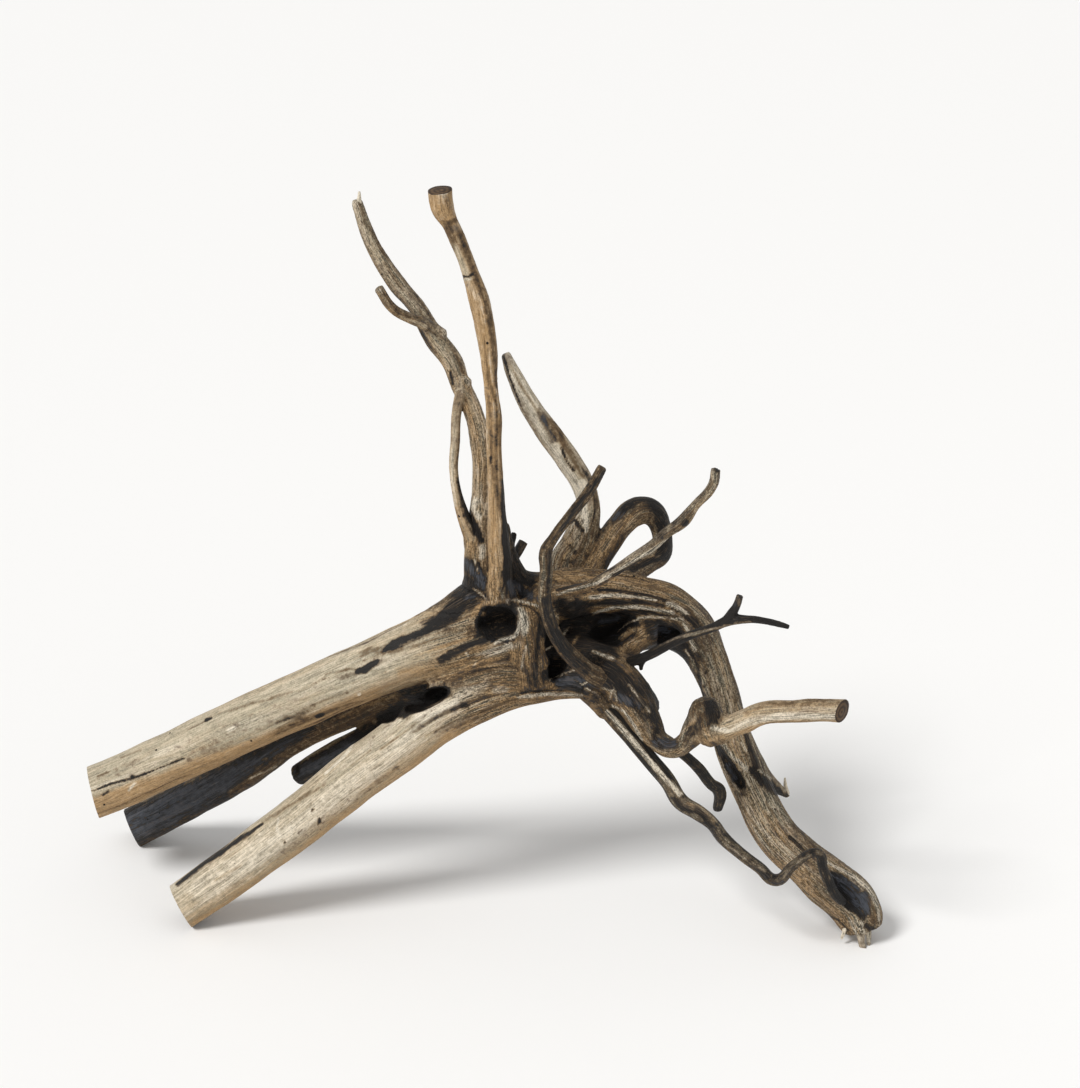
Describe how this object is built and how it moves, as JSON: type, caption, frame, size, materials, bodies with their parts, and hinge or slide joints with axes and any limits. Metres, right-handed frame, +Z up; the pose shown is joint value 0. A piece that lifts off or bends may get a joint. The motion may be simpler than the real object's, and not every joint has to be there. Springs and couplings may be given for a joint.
{
  "type": "driftwood root",
  "caption": "Weathered driftwood root with sawn trunks, an arching root, upright prongs and fine twigs; stands on three feet as decoration or climbing wood.",
  "frame": {"origin": "centre of the bounding box on the plane that the three feet stand on", "axes": "+Z up, +X from the sawn trunks towards the long arching root, the longest extent, and -Y towards the viewer of the picture"},
  "size_m": [0.5161, 0.191, 0.4811],
  "materials": {
    "weathered_wood": "dry weathered driftwood, matt, tan to grey-brown with blue-black stained patches"
  },
  "bodies": {
    "root": {"driftwood_root": "weathered_wood"}
  },
  "joints": []
}
